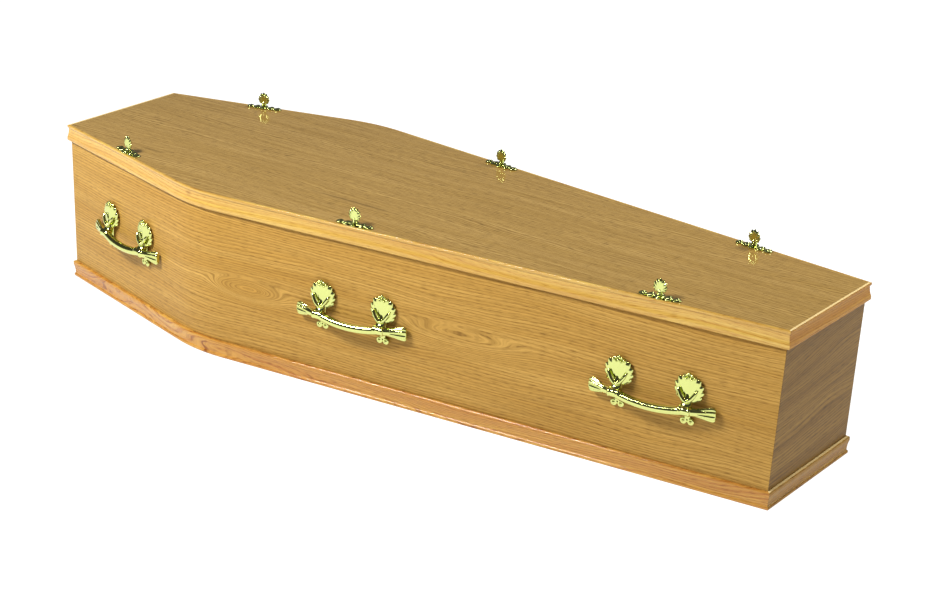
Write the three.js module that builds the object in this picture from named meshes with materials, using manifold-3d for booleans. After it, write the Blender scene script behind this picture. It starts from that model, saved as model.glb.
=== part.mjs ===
// A shouldered, six-sided coffin: walls, base and lid of oak-veneered board, solid oak mouldings
// round the lid and the base, six cast handles and six lid screws with ornamental plates.
// Millimetres, +Z up. The foot end is at +X and the head end at -X. The left side is at +Y and the
// right side at -Y, as for someone lying in it. The origin is on the floor, under the middle.

import * as THREE from 'three';
import { mergeVertices } from 'three/addons/utils/BufferGeometryUtils.js';
import Module from 'manifold-3d';

const wasm = await Module();
wasm.setup();

// The box, measured over the outer faces of its walls at the top edge
const boxLength = 1946;
const headToShoulder = 540;
const headWidth = 350;
const shoulderWidth = 635;
const footWidth = 323;
const wallHeight = 369;
// How far the foot end leans in from its top edge to the floor
const footLean = 15;
// Radius of the outer face where each side is bent round at the shoulder
const bendRadius = 400;

// Board thicknesses
const sideThickness = 16;
const endThickness = 18;
const baseThickness = 18;
const lidThickness = 18;

// Gap between two pieces that touch, and how far the lid board stands out past the walls
const touchGap = 0.3;
const lidOverhang = 1;

// The moulding: a square-edged bead along one edge, a quirk, a hollow, and a rounded nose along the other edge
const mouldingHeight = 39;
const beadHeight = 8;
const noseHeight = 9;
const beadDepth = 5.7;
const quirkDepth = 3.2;
const noseDepth = 6.7;
// The step from the bead up to the quirk beside it
const quirkStep = 1;

// Where the outer handles and lid screws stand, from the ends of the box, and how far the middle ones
// stand from halfway between the outer ones, towards the foot
const handleFromHead = 260;
const handleFromFoot = 270;
const handleShift = -5;
const screwFromHead = 252;
const screwFromFoot = 276;
const screwShift = -4;

// The handle casting
const gripHeight = 175;
const gripStandOff = 21.5;
const gripRadius = 9;
const gripLength = 280;
const gripSag = 8;
const gripBow = 6;
const knuckleSpacing = 155;
const knuckleRadius = 10;
const knuckleLength = 27;
const flareLength = 46;
const flareHeight = 32;
const flareDepth = 15;
const flareFlutes = 4;
const fluteDepth = 0.1;
// Share of the flare's length at its widest ring, and the size of its last ring as a share of that
const flareRimStart = 0.85;
const flareRimShare = 0.72;
const leafHeight = 62;
const leafWidth = 60;
const leafRise = 15;
const leafEdge = 2.5;
const leafCrown = 9;
const leafRib = 1.4;
const neckWidth = 22;
const neckThickness = 13;
// How far above the leaf's foot the neck leaves it, and its widths there and at its waist as shares
const neckRise = 8;
const neckRootShare = 1.2;
const neckWaistShare = 0.84;
const stemWidth = 15;
const stemThickness = 6;
const stemDrop = 29;
const scrollRadius = 8;
const scrollSpacing = 16;
const scrollThickness = 9;

// The lid screw and its plate
const screwPlateLength = 96;
const screwPlateWidth = 30;
const screwPlateThickness = 3;
const screwPlateCrown = 3;
const screwShankRadius = 3;
const screwShankDepth = 38;
const screwHoleClearance = 0.4;
const screwCollarRadius = 7;
const screwCollarHeight = 4;
const screwStemRadius = 3.6;
const screwLeafStart = 10;
const screwLeafHeight = 31;
const screwLeafWidth = 31;
const screwLeafThickness = 8;
// The plate's edge lobes: how many to half its length, their depth, and the narrowing to its tips
const plateLobes = 2.5;
const plateLobeDepth = 0.36;
const plateNarrowing = 0.45;

// The cast leaves: where the outline starts on its half wave, its fullness, and its edge lobes
const leafOpening = 0.16;
const leafFullness = 0.9;
const leafLobeCount = 3.5;
const leafLobeDepth = 0.1;

// Steps of the curved forms
const bendSteps = 6;
const profileSteps = 2;
const roundSides = 8;
const neckSides = 6;
const screwSides = 6;
const weldDistance = 1e-4;

const headX = -boxLength / 2;
const footTopX = boxLength / 2;
const shoulderX = headX + headToShoulder;
const lidUnderside = wallHeight + touchGap;
const lidTop = lidUnderside + lidThickness;

const oakVeneer = new THREE.MeshStandardMaterial({ color: 0xc9994f, roughness: 0.42, metalness: 0 });
const oakVeneerLid = new THREE.MeshStandardMaterial({ color: 0xb08e52, roughness: 0.3, metalness: 0 });
const solidOak = new THREE.MeshStandardMaterial({ color: 0xe0b065, roughness: 0.38, metalness: 0 });
const electroBrass = new THREE.MeshStandardMaterial({ color: 0xd9d880, roughness: 0.18, metalness: 1 });

// Geometry helpers

function signedVolume(geometry) {
  const positions = geometry.attributes.position;
  const corners = [new THREE.Vector3(), new THREE.Vector3(), new THREE.Vector3()];
  let volume = 0;
  for (let i = 0; i < geometry.index.count; i += 3) {
    corners.forEach((corner, k) => corner.fromBufferAttribute(positions, geometry.index.getX(i + k)));
    volume += corners[0].dot(corners[1].cross(corners[2])) / 6;
  }
  return volume;
}

// Moves every vertex, welds the surface shut and turns its faces outwards.
function reshape(geometry, move) {
  geometry.deleteAttribute('normal');
  geometry.deleteAttribute('uv');
  const positions = geometry.attributes.position;
  const point = new THREE.Vector3();
  for (let i = 0; i < positions.count; i += 1) {
    point.fromBufferAttribute(positions, i);
    move(point);
    positions.setXYZ(i, point.x, point.y, point.z);
  }
  const welded = mergeVertices(geometry, weldDistance);
  if (signedVolume(welded) < 0) {
    const order = Array.from(welded.index.array);
    welded.setIndex(order.reverse());
  }
  return welded;
}

const keep = () => {};

function toSolid(geometry) {
  const vertProperties = new Float32Array(geometry.attributes.position.array);
  const triVerts = new Uint32Array(geometry.index.array);
  return new wasm.Manifold(new wasm.Mesh({ numProp: 3, vertProperties, triVerts }));
}

function toGeometry(solid) {
  const mesh = solid.getMesh();
  const geometry = new THREE.BufferGeometry();
  geometry.setAttribute('position', new THREE.BufferAttribute(mesh.vertProperties, 3));
  geometry.setIndex(new THREE.BufferAttribute(mesh.triVerts, 1));
  return geometry;
}

const join = (geometries) => toGeometry(geometries.map(toSolid).reduce((sum, next) => sum.add(next)));

const cut = (geometry, cutters) =>
  toGeometry(cutters.map(toSolid).reduce((rest, cutter) => rest.subtract(cutter), toSolid(geometry)));

// Carries a profile drawn as (out, up) through numbered stations. place(station, out, up) sets a point.
function sweep(profile, spans, place) {
  const settings = { depth: spans, steps: spans, bevelEnabled: false, curveSegments: profileSteps };
  const geometry = new THREE.ExtrudeGeometry(profile, settings);
  return reshape(geometry, (point) => {
    const placed = place(Math.round(point.z), point.x, point.y);
    point.set(placed[0], placed[1], placed[2]);
  });
}

function rectangle(left, bottom, right, top) {
  const shape = new THREE.Shape();
  shape.moveTo(left, bottom);
  shape.lineTo(right, bottom);
  shape.lineTo(right, top);
  shape.lineTo(left, top);
  shape.closePath();
  return shape;
}

function polygon(sides) {
  const shape = new THREE.Shape();
  for (let i = 0; i < sides; i += 1) {
    const angle = (2 * Math.PI * (i + 0.5)) / sides;
    const corner = [Math.cos(angle), Math.sin(angle)];
    if (i === 0) shape.moveTo(...corner);
    else shape.lineTo(...corner);
  }
  shape.closePath();
  return shape;
}

// The plan of the box

function planLine(x0, y0, x1, y1) {
  const length = Math.hypot(x1 - x0, y1 - y0);
  const cosine = (x1 - x0) / length;
  const slope = (y1 - y0) / (x1 - x0);
  return { x0, y0, cosine, slope, angle: Math.atan(slope) };
}

const headLine = planLine(headX, headWidth / 2, shoulderX, shoulderWidth / 2);
const footLine = planLine(shoulderX, shoulderWidth / 2, footTopX, footWidth / 2);

// y of a straight stretch of the left side, set out square to its face, at x
const lineY = (line, out, x) => line.y0 + (x - line.x0) * line.slope + out / line.cosine;

const bendCentreX =
  headLine.x0 +
  (lineY(footLine, -bendRadius, headLine.x0) - lineY(headLine, -bendRadius, headLine.x0)) /
    (headLine.slope - footLine.slope);
const bendCentreY = lineY(headLine, -bendRadius, bendCentreX);

// x of the foot end's outer face at height z
const footX = (z) => footTopX - footLean * (1 - z / wallHeight);

const lineAt = (x) => (x < bendCentreX ? headLine : footLine);

// Ways for a piece to end: mitred at the corners, or butted against the inside of the end panels
const mitredToWalls = { head: (out) => headX - out, foot: (out, z) => footX(z) + out };
// The base moulding's front stands upright. Only its back follows the leaning foot panel.
const mitredToBase = {
  head: mitredToWalls.head,
  foot: (out, z) => footX(out > touchGap ? mouldingHeight : z) + out,
};
const mitredToLid = { head: (out) => headX - out, foot: (out) => footTopX + out };
const buttGap = endThickness + touchGap;
const buttedToPanels = { head: () => headX + buttGap, foot: (out, z) => footX(z) - buttGap };

const lastStation = bendSteps + 2;

// Point of the left side (side = 1) or right side (side = -1) at a station along it
function sidePoint(side, station, out, z, ends) {
  if (station === 0) {
    const x = ends.head(out, z);
    return [x, side * lineY(headLine, out, x), z];
  }
  if (station === lastStation) {
    const x = ends.foot(out, z);
    return [x, side * lineY(footLine, out, x), z];
  }
  const share = (station - 1) / bendSteps;
  const angle = headLine.angle + (footLine.angle - headLine.angle) * share;
  const radius = bendRadius + out;
  const x = bendCentreX - radius * Math.sin(angle);
  return [x, side * (bendCentreY + radius * Math.cos(angle)), z];
}

function sidePiece(side, profile, ends, height) {
  return sweep(profile, lastStation, (station, out, up) =>
    sidePoint(side, station, out, height(up), ends));
}

// An end piece runs between the two sides, mitred to them with a small gap.
function endPiece(isFoot, profile, ends, height) {
  return sweep(profile, 1, (station, out, up) => {
    const z = height(up);
    const x = isFoot ? ends.foot(out, z) : ends.head(out, z);
    const reach = lineY(isFoot ? footLine : headLine, out, x) - 2 * touchGap;
    return [x, station === 0 ? -reach : reach, z];
  });
}

// A flat board whose edge follows the plan, set out from the walls' outer faces
function planBoard(out, ends, thickness, underside) {
  const shape = new THREE.Shape();
  for (const side of [1, -1]) {
    for (let i = 0; i <= lastStation; i += 1) {
      const station = side === 1 ? i : lastStation - i;
      const [x, y] = sidePoint(side, station, out, underside, ends);
      if (side === 1 && i === 0) shape.moveTo(x, y);
      else shape.lineTo(x, y);
    }
  }
  shape.closePath();
  const geometry = new THREE.ExtrudeGeometry(shape, { depth: thickness, bevelEnabled: false });
  geometry.translate(0, 0, underside);
  return reshape(geometry, keep);
}

// The moulding's profile, with the bead at the bottom as on the base
function mouldingProfile(back) {
  const shape = new THREE.Shape();
  const beadTop = beadHeight + quirkStep;
  const noseBottom = mouldingHeight - noseHeight;
  const nose = back + noseDepth;
  const bead = back + beadDepth;
  const quirk = back + quirkDepth;
  shape.moveTo(back, 0);
  shape.lineTo(bead, 0);
  shape.lineTo(bead, beadHeight / 2);
  shape.quadraticCurveTo(bead, beadHeight, quirk, beadTop);
  shape.quadraticCurveTo(quirk, (beadTop + noseBottom) / 2, nose, noseBottom);
  shape.quadraticCurveTo(nose, mouldingHeight, back + noseDepth / 2, mouldingHeight);
  shape.lineTo(back, mouldingHeight);
  shape.closePath();
  return shape;
}

// Carved and cast forms

// A lobed leaf standing on its stalk end: across runs from -1 to 1, along from 0 to 1.
const leafWave = (along) => Math.sin(Math.PI * (leafOpening + (1 - leafOpening) * along));
const leafEnvelope = (along) => Math.max(0, leafWave(along)) ** leafFullness;
const leafLobes = (along) => 1 + leafLobeDepth * Math.cos(2 * Math.PI * (leafLobeCount * along + 0.1));
const leafHalfWidth = (along) => leafEnvelope(along) * leafLobes(along);

// A block of columns and rows, moved into a leaf: face(across, along) gives the front's height.
function leafBlock(columns, rows, width, height, back, face) {
  const block = new THREE.BoxGeometry(2, 1, 1, columns, rows, 1);
  block.translate(0, 0.5, 0.5);
  return reshape(block, (point) => {
    const { x: across, y: along, z: front } = point;
    const rise = height * (along + 0.06 * Math.abs(across) * (1 - along));
    const out = front > 0.5 ? face(across, along) : back;
    point.set((across * width * leafHalfWidth(along)) / 2, rise, out);
  });
}

// The handle lies with u along the wall, v up and w out from the wall; the grip's axis is at v = 0.
const toWall = (geometry) => geometry.rotateX(Math.PI / 2);

// Half the width of the backplate at height v: scrolled feet, a straight stem, then the leaf
function plateHalfWidth(v) {
  const fromScroll = Math.abs(v + stemDrop) / scrollRadius;
  if (fromScroll <= 1) return scrollSpacing / 2 + scrollRadius * Math.sqrt(1 - fromScroll ** 2);
  if (v < leafRise) return stemWidth / 2;
  return (leafWidth / 2) * leafHalfWidth((v - leafRise) / leafHeight);
}

// How far the front of the backplate stands out: domed feet, a flat stem, a crowned and ribbed leaf
function plateFace(across, v) {
  const dome = 1 - across * across;
  if (v < leafRise) {
    const isFoot = v < scrollRadius - stemDrop;
    return touchGap + (isFoot ? scrollThickness - dome * leafEdge : stemThickness);
  }
  const along = (v - leafRise) / leafHeight;
  const crown = leafCrown * Math.max(0, 1 - along) ** 1.5 * (1 - 0.4 * across * across);
  const rib = leafRib * Math.cos(2 * Math.PI * across) * Math.sin(Math.PI * along);
  return touchGap + leafEdge + crown + rib + leafEdge * dome * (1 - along * along);
}

function backplate() {
  const footShares = [-0.95, 0, 0.95];
  const leafRows = 6;
  const heights = footShares.map((share) => share * scrollRadius - stemDrop);
  heights.push(leafRise - 1);
  for (let row = 0; row <= leafRows; row += 1) heights.push(leafRise + (leafHeight * row) / leafRows);
  const rows = heights.length - 1;
  const block = new THREE.BoxGeometry(2, rows, 1, 4, rows, 1);
  block.translate(0, rows / 2, 0.5);
  return reshape(block, (point) => {
    const { x: across, z: front } = point;
    const v = heights[Math.round(point.y)];
    const out = front > 0.5 ? plateFace(across, v) : touchGap;
    point.set(across * plateHalfWidth(v), v, out);
  });
}

// The neck leaves the leaf's stalk and carries the grip.
function neck() {
  const path = [
    { v: leafRise + neckRise, w: neckThickness / 2 + touchGap, share: neckRootShare, lean: 0.3 },
    { v: leafRise / 2, w: gripStandOff * 0.6, share: neckWaistShare, lean: 0.75 },
    { v: 0, w: gripStandOff, share: 1, lean: 1 },
  ];
  return sweep(polygon(neckSides), path.length - 1, (station, u, t) => {
    const { v, w, share, lean } = path[station];
    const angle = (Math.PI / 2) * lean;
    const thick = (t * neckThickness) / 2;
    return [(u * share * neckWidth) / 2, v + thick * Math.sin(angle), w + thick * Math.cos(angle)];
  });
}

function knuckle() {
  const geometry = new THREE.CylinderGeometry(knuckleRadius, knuckleRadius, knuckleLength, roundSides);
  geometry.rotateZ(Math.PI / 2);
  geometry.translate(0, 0, gripStandOff);
  return reshape(geometry, keep);
}

// The grip's centre line sags between the knuckles, and bows out from the wall over its whole length.
const fromMiddle = (u) => (2 * u) / knuckleSpacing;
const gripV = (u) => -gripSag * Math.max(0, 1 - fromMiddle(u) ** 2);
const gripW = (u) => gripStandOff + gripBow * (1 - fromMiddle(u) ** 2);
const slopeOf = (curve, u) => (curve(u + 1) - curve(u - 1)) / 2;

function grip() {
  const middleSpans = 6;
  const flareSpans = 3;
  const spans = middleSpans + 2 * flareSpans;
  const flareStart = (gripLength - 2 * flareLength) / 2;
  return sweep(polygon(roundSides), spans, (station, up, out) => {
    const step = Math.abs(station - spans / 2);
    const inFlare = Math.max(0, (step - middleSpans / 2) / flareSpans);
    const inMiddle = Math.min(1, step / (middleSpans / 2));
    const side = Math.sign(station - spans / 2);
    const u = side * (inMiddle * flareStart + inFlare * flareLength);
    const open = Math.sin((Math.PI / 2) * Math.min(1, inFlare / flareRimStart)) ** 2;
    const flute = 1 + fluteDepth * open * Math.cos(2 * flareFlutes * Math.atan2(out, up));
    const size = inFlare > flareRimStart ? flareRimShare * flute : flute;
    const high = up * (gripRadius + (flareHeight / 2 - gripRadius) * open) * size;
    const deep = out * (gripRadius + (flareDepth / 2 - gripRadius) * open) * size;
    const along = u - high * slopeOf(gripV, u) - deep * slopeOf(gripW, u);
    return [along, gripV(u) + high, gripW(u) + deep];
  });
}

function handleCasting() {
  const parts = [grip()];
  for (const side of [-1, 1]) {
    const mounting = [backplate(), neck(), knuckle()];
    mounting.forEach((piece) => parts.push(piece.translate((side * knuckleSpacing) / 2, 0, 0)));
  }
  return toWall(join(parts));
}

// The lid screw's plate lies along the wall line, with lobes on both edges.
function screwPlate() {
  const wave = (along) => 1 - plateLobeDepth * (1 - Math.cos(2 * plateLobes * Math.PI * along));
  const lobe = (along) => (1 - plateNarrowing * Math.abs(along)) * wave(along);
  const block = new THREE.BoxGeometry(2, 2, 1, 10, 2, 1);
  block.translate(0, 0, 0.5);
  const plate = reshape(block, (point) => {
    const { x: along, y: across, z: top } = point;
    const crown = screwPlateCrown * (1 - across * across) * (0.4 + 0.6 * lobe(along));
    const up = top > 0.5 ? screwPlateThickness + crown : 0;
    point.set((along * screwPlateLength) / 2, (across * lobe(along) * screwPlateWidth) / 2, up);
  });
  return cut(plate, [shankHole(-1, screwPlateThickness + screwPlateCrown + 1)]);
}

function shankHole(bottom, top) {
  const radius = screwShankRadius + screwHoleClearance;
  const geometry = new THREE.CylinderGeometry(radius, radius, top - bottom, screwSides);
  geometry.rotateX(Math.PI / 2);
  geometry.translate(0, 0, (top + bottom) / 2);
  return reshape(geometry, keep);
}

// The screw hangs from a collar on its plate: shank below, and above it a stem and a leaf to turn.
function lidScrew() {
  const collarBottom = screwPlateThickness + screwPlateCrown + touchGap;
  const collarTop = collarBottom + screwCollarHeight;
  const leafTop = screwLeafStart + screwLeafHeight / 2;
  const radii = [
    [0, -screwShankDepth - touchGap], [screwShankRadius * 0.4, -screwShankDepth - touchGap],
    [screwShankRadius, -screwShankDepth + 2 * screwShankRadius], [screwShankRadius, collarBottom],
    [screwCollarRadius, collarBottom], [screwCollarRadius * 0.7, collarTop],
    [screwStemRadius, collarTop + 1], [screwStemRadius, leafTop], [0, leafTop],
  ];
  const turned = new THREE.LatheGeometry(radii.map(([r, h]) => new THREE.Vector2(r, h)), screwSides);
  turned.rotateX(Math.PI / 2);
  const half = screwLeafThickness / 2;
  const face = (across, along) => half * (1 - 0.5 * across * across) * (1 - 0.5 * along) + half * 0.3;
  const leaf = leafBlock(4, 6, screwLeafWidth, screwLeafHeight, -half, face);
  leaf.translate(0, screwLeafStart, 0);
  return join([reshape(turned, keep), toWall(leaf)]);
}

// The pieces, in the order they are put together

const coffin = new THREE.Group();

function addPiece(name, geometry, material) {
  const mesh = new THREE.Mesh(geometry, material);
  mesh.name = name;
  coffin.add(mesh);
  return mesh;
}

const sides = [{ name: 'right', side: -1 }, { name: 'left', side: 1 }];
const ends = [{ name: 'head', isFoot: false }, { name: 'foot', isFoot: true }];

function stationsFrom(fromHead, fromFoot, shift) {
  const head = headX + fromHead;
  const foot = footTopX - fromFoot;
  return { head, middle: (head + foot) / 2 + shift, foot };
}

const handleStations = stationsFrom(handleFromHead, handleFromFoot, handleShift);
const screwStations = stationsFrom(screwFromHead, screwFromFoot, screwShift);

// Places a fitting over a side wall at x, set out from its outer face and turned to follow it
function standOnWall(object, side, x, out, z) {
  const line = lineAt(x);
  object.position.set(x, side * lineY(line, out, x), z);
  object.rotation.z = side === 1 ? Math.PI + line.angle : -line.angle;
}

function screwHolesAlong(side) {
  return Object.values(screwStations).map((x) => {
    const hole = shankHole(-screwShankDepth - 2 * touchGap, lidThickness);
    const stand = new THREE.Object3D();
    standOnWall(stand, side, x, -sideThickness / 2, lidTop);
    stand.updateMatrix();
    return hole.applyMatrix4(stand.matrix);
  });
}

const asBuilt = (up) => up;
const upsideDown = (up) => lidTop - up;

const baseInset = -(sideThickness + touchGap);
addPiece('base_board', planBoard(baseInset, buttedToPanels, baseThickness, 0), oakVeneer);

const baseProfile = mouldingProfile(touchGap);
const lidProfile = mouldingProfile(lidOverhang + touchGap);

for (const { name, side } of sides) {
  const wall = sidePiece(side, rectangle(-sideThickness, 0, 0, wallHeight), mitredToWalls, asBuilt);
  addPiece(`side_panel_${name}`, cut(wall, screwHolesAlong(side)), oakVeneer);
  addPiece(`base_moulding_${name}`, sidePiece(side, baseProfile, mitredToBase, asBuilt), solidOak);
  addPiece(`lid_moulding_${name}`, sidePiece(side, lidProfile, mitredToLid, upsideDown), solidOak);
}

const endPanel = rectangle(-endThickness, 0, 0, wallHeight);
for (const { name, isFoot } of ends) {
  addPiece(`${name}_panel`, endPiece(isFoot, endPanel, mitredToWalls, asBuilt), oakVeneer);
  const base = endPiece(isFoot, baseProfile, mitredToBase, asBuilt);
  addPiece(`base_moulding_${name}`, base, solidOak);
  const lid = endPiece(isFoot, lidProfile, mitredToLid, upsideDown);
  addPiece(`lid_moulding_${name}`, lid, solidOak);
}

const lidBoard = planBoard(lidOverhang, mitredToLid, lidThickness, lidUnderside);
const lidHoles = sides.flatMap(({ side }) => screwHolesAlong(side));
addPiece('lid_board', cut(lidBoard, lidHoles), oakVeneerLid);

const casting = handleCasting();
const plate = screwPlate();
const screw = lidScrew();
for (const { name: sideName, side } of sides) {
  for (const [name, x] of Object.entries(handleStations)) {
    const handle = addPiece(`handle_${sideName}_${name}`, casting, electroBrass);
    standOnWall(handle, side, x, 0, gripHeight);
  }
  for (const [name, x] of Object.entries(screwStations)) {
    const screwPlateMesh = addPiece(`lid_screw_plate_${sideName}_${name}`, plate, electroBrass);
    standOnWall(screwPlateMesh, side, x, -sideThickness / 2, lidTop + touchGap);
    const screwMesh = addPiece(`lid_screw_${sideName}_${name}`, screw, electroBrass);
    standOnWall(screwMesh, side, x, -sideThickness / 2, lidTop + touchGap);
  }
}

export default coffin;
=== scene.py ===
# %% [markdown]
# # A shouldered oak coffin
#
# The object is a plain six-sided coffin: oak-veneered boards, solid oak mouldings round the lid and
# the base, six cast handles and six lid screws, all in electro-brass.
# The frame below brings in the measured solids. Everything in this lesson is fitted to them, in metres.

# %% Load the measured solids
import math

import bmesh
import bpy
from mathutils import Matrix, Vector


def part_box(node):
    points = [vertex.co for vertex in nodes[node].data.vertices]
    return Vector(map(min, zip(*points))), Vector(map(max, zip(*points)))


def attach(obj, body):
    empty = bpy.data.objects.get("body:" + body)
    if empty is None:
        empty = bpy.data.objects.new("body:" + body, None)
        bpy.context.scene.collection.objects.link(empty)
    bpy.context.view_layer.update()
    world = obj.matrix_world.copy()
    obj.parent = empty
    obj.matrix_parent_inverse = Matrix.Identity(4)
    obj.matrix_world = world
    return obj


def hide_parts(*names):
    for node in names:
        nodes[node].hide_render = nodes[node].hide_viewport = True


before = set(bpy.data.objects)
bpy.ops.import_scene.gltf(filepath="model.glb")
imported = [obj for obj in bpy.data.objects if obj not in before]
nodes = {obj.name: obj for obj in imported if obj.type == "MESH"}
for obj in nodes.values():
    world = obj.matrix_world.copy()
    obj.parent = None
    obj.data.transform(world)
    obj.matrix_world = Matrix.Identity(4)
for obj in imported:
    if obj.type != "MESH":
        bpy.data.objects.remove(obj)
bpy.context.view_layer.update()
MM = 0.001

# %% [markdown]
# ## The camera
#
# The camera stands where the photographer's stood. Its place was worked out from the edges of the lid
# and the base, which are straight and parallel on the real object. A focal length in pixels becomes a
# lens in millimetres by the sensor's width.

# %% Set up the camera
PICTURE_WIDTH = 940
FOCAL_PIXELS = 2131.9
SENSOR_WIDTH = 36.0
CAMERA_AZIMUTH = math.radians(36.3)
CAMERA_ELEVATION = math.radians(22.13)
CAMERA_ROLL = math.radians(1.7)
CAMERA_DISTANCE = 4.6445
CAMERA_TARGET = Vector((0.1496, -0.0677, 0.2))


def look_axes(azimuth, elevation, roll):
    right = Vector((math.cos(azimuth), math.sin(azimuth), 0))
    back = Vector((math.sin(azimuth) * math.cos(elevation),
                   -math.cos(azimuth) * math.cos(elevation),
                   math.sin(elevation)))
    up = back.cross(right)
    turned_right = right * math.cos(roll) + up * math.sin(roll)
    turned_up = up * math.cos(roll) - right * math.sin(roll)
    return turned_right, turned_up, back


camera_data = bpy.data.cameras.new("camera")
camera_data.sensor_width = SENSOR_WIDTH
camera_data.lens = SENSOR_WIDTH * FOCAL_PIXELS / PICTURE_WIDTH
camera_data.clip_start = 0.1
camera_data.clip_end = 100
camera = bpy.data.objects.new("camera", camera_data)
bpy.context.scene.collection.objects.link(camera)
camera_axes = look_axes(CAMERA_AZIMUTH, CAMERA_ELEVATION, CAMERA_ROLL)
camera_place = CAMERA_TARGET + camera_axes[2] * CAMERA_DISTANCE
camera.matrix_world = Matrix.Translation(camera_place) @ Matrix(camera_axes).transposed().to_4x4()
bpy.context.scene.camera = camera
print("camera at", [round(c, 3) for c in camera_place], "lens", round(camera_data.lens, 2))

# %% [markdown]
# ## Colour and nodes
#
# A colour is given as an sRGB hex value, while shaders work in linear light, so one function turns
# the first into the second. A second function adds a node with its settings and its links.

# %% Colour and node helpers
def linear(hex_colour):
    channels = [int(hex_colour[i:i + 2], 16) / 255 for i in (1, 3, 5)]
    lit = [c / 12.92 if c <= 0.04045 else ((c + 0.055) / 1.055) ** 2.4 for c in channels]
    return (*lit, 1.0)


def add_node(tree, kind, settings=None, links=None):
    """settings are attributes, or the values of inputs where no attribute has that name"""
    node = tree.nodes.new(kind)
    for key, value in (settings or {}).items():
        if isinstance(key, str) and hasattr(node, key):
            setattr(node, key, value)
    for key, value in (settings or {}).items():
        if not (isinstance(key, str) and hasattr(node, key)):
            node.inputs[key].default_value = value
    for key, socket in (links or {}).items():
        tree.links.new(socket, node.inputs[key])
    return node


def new_material(name):
    material = bpy.data.materials.new(name)
    material.use_nodes = True
    material.node_tree.nodes.clear()
    return material, material.node_tree


def ramp_of(tree, factor, stops):
    """A colour ramp from (position, hex or grey) stops"""
    node = add_node(tree, "ShaderNodeValToRGB", links={"Fac": factor})
    elements = node.color_ramp.elements
    while len(elements) < len(stops):
        elements.new(1.0)
    for element, (position, colour) in zip(elements, stops):
        element.position = position
        is_hex = isinstance(colour, str)
        element.color = linear(colour) if is_hex else (colour, colour, colour, 1.0)
    return node.outputs["Color"]


print("mid grey in linear light:", round(linear("#808080")[0], 3))

# %% [markdown]
# ## Oak
#
# Oak is ring-porous: each year begins with a band of open pores that shows as dark dashes and ends with
# denser, paler wood. Cut along the trunk, the rings draw long lines, with arches and ovals where the
# board grazes a ring. Here the place across the board is first pushed aside by slow noise, and by a hump
# where an eye belongs. Rings, fine lines and pores are then all drawn on that bent board, so they flow
# together. The pores are short dashes of fast noise, and most of them lie in the dark part of a ring.
# The real pores are 0.3 mm wide. They are drawn about 1.4 mm wide, because a pixel is 2 mm.
#
# A pattern's cell is its length along the board and its width across it, in millimetres. A placed mark is
# its place along and across the board, its length, its width and its strength.

# %% Tools for patterns on a board
def maths(tree, operation, first, second=None, third=None):
    """Each value is a number, or the socket that brings it"""
    settings, links = {"operation": operation}, {}
    for k, value in enumerate((first, second, third)):
        if value is not None:
            (settings if isinstance(value, (int, float)) else links)[k] = value
    return add_node(tree, "ShaderNodeMath", settings, links).outputs[0]


def blend(tree, factor, first, second):
    """Mixes two colours. The Mix node keeps its colour sockets at places 6 and 7."""
    node = add_node(tree, "ShaderNodeMix", {"data_type": "RGBA"}, {"Factor": factor})
    for socket, colour in ((6, first), (7, second)):
        if isinstance(colour, str):
            node.inputs[socket].default_value = linear(colour)
        else:
            tree.links.new(colour, node.inputs[socket])
    return node.outputs[2]


def separate(tree, vector):
    return add_node(tree, "ShaderNodeSeparateXYZ", links={0: vector}).outputs


def stretch(tree, vector, cell):
    length, width = cell
    return add_node(tree, "ShaderNodeMapping", {"Scale": (1 / (length * MM), 1 / (width * MM), 1)},
                    {"Vector": vector}).outputs[0]


def noise(tree, vector, cell, detail):
    return add_node(tree, "ShaderNodeTexNoise", {"Scale": 1.0, "Detail": detail, "Roughness": 0.6},
                    {"Vector": stretch(tree, vector, cell)}).outputs["Fac"]


def oval(tree, board, depth, mark):
    """A placed mark that fades from its strength at the centre to nothing at its rim"""
    along, across, length, width, strength = mark
    offset = add_node(tree, "ShaderNodeVectorMath",
                      {"operation": "SUBTRACT", 1: (along / length, across / width, depth)},
                      {0: stretch(tree, board, (length, width))}).outputs[0]
    reach = add_node(tree, "ShaderNodeVectorMath", {"operation": "LENGTH"}, {0: offset})
    return add_node(tree, "ShaderNodeMapRange",
                    {"interpolation_type": "SMOOTHERSTEP", "To Min": strength, "To Max": 0.0},
                    {"Value": reach.outputs["Value"]}).outputs[0]


print("the middle tone of oak in linear light:", [round(c, 3) for c in linear("#be9143")])

# %% The board that the grain is drawn on
RING_WIDTH = 7 * MM
SWAY_CELL = (620, 95)
SWAY_DETAIL = 1.5


def grain_of(tree, along, across, slant, wander, seed, eyes):
    """The plain board, the place across it after bending, and the board with its grain bent"""
    axes = separate(tree, add_node(tree, "ShaderNodeTexCoord").outputs["Object"])
    level = maths(tree, "MULTIPLY_ADD", axes[along], slant, axes[across])
    board = add_node(tree, "ShaderNodeCombineXYZ", {"Z": seed}, {"X": axes[along], "Y": level}).outputs[0]
    sway = noise(tree, board, SWAY_CELL, SWAY_DETAIL)
    bent = maths(tree, "MULTIPLY_ADD", sway, wander * RING_WIDTH, level)
    for eye in eyes:
        bent = maths(tree, "MULTIPLY_ADD", oval(tree, board, seed, eye), RING_WIDTH, bent)
    flow = add_node(tree, "ShaderNodeCombineXYZ", {"Z": seed}, {"X": axes[along], "Y": bent}).outputs[0]
    return board, bent, flow


print("a year's ring is", round(RING_WIDTH / MM, 1), "mm wide")

# %% The oak material
RAGGED_CELL, RAGGED_SHARE = (140, 4), 0.3
TONE_CELL = (700, 30)
FINE_LINE_CELL = (320, 2.8)
PORE_CELL = (22, 1.4)
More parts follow.
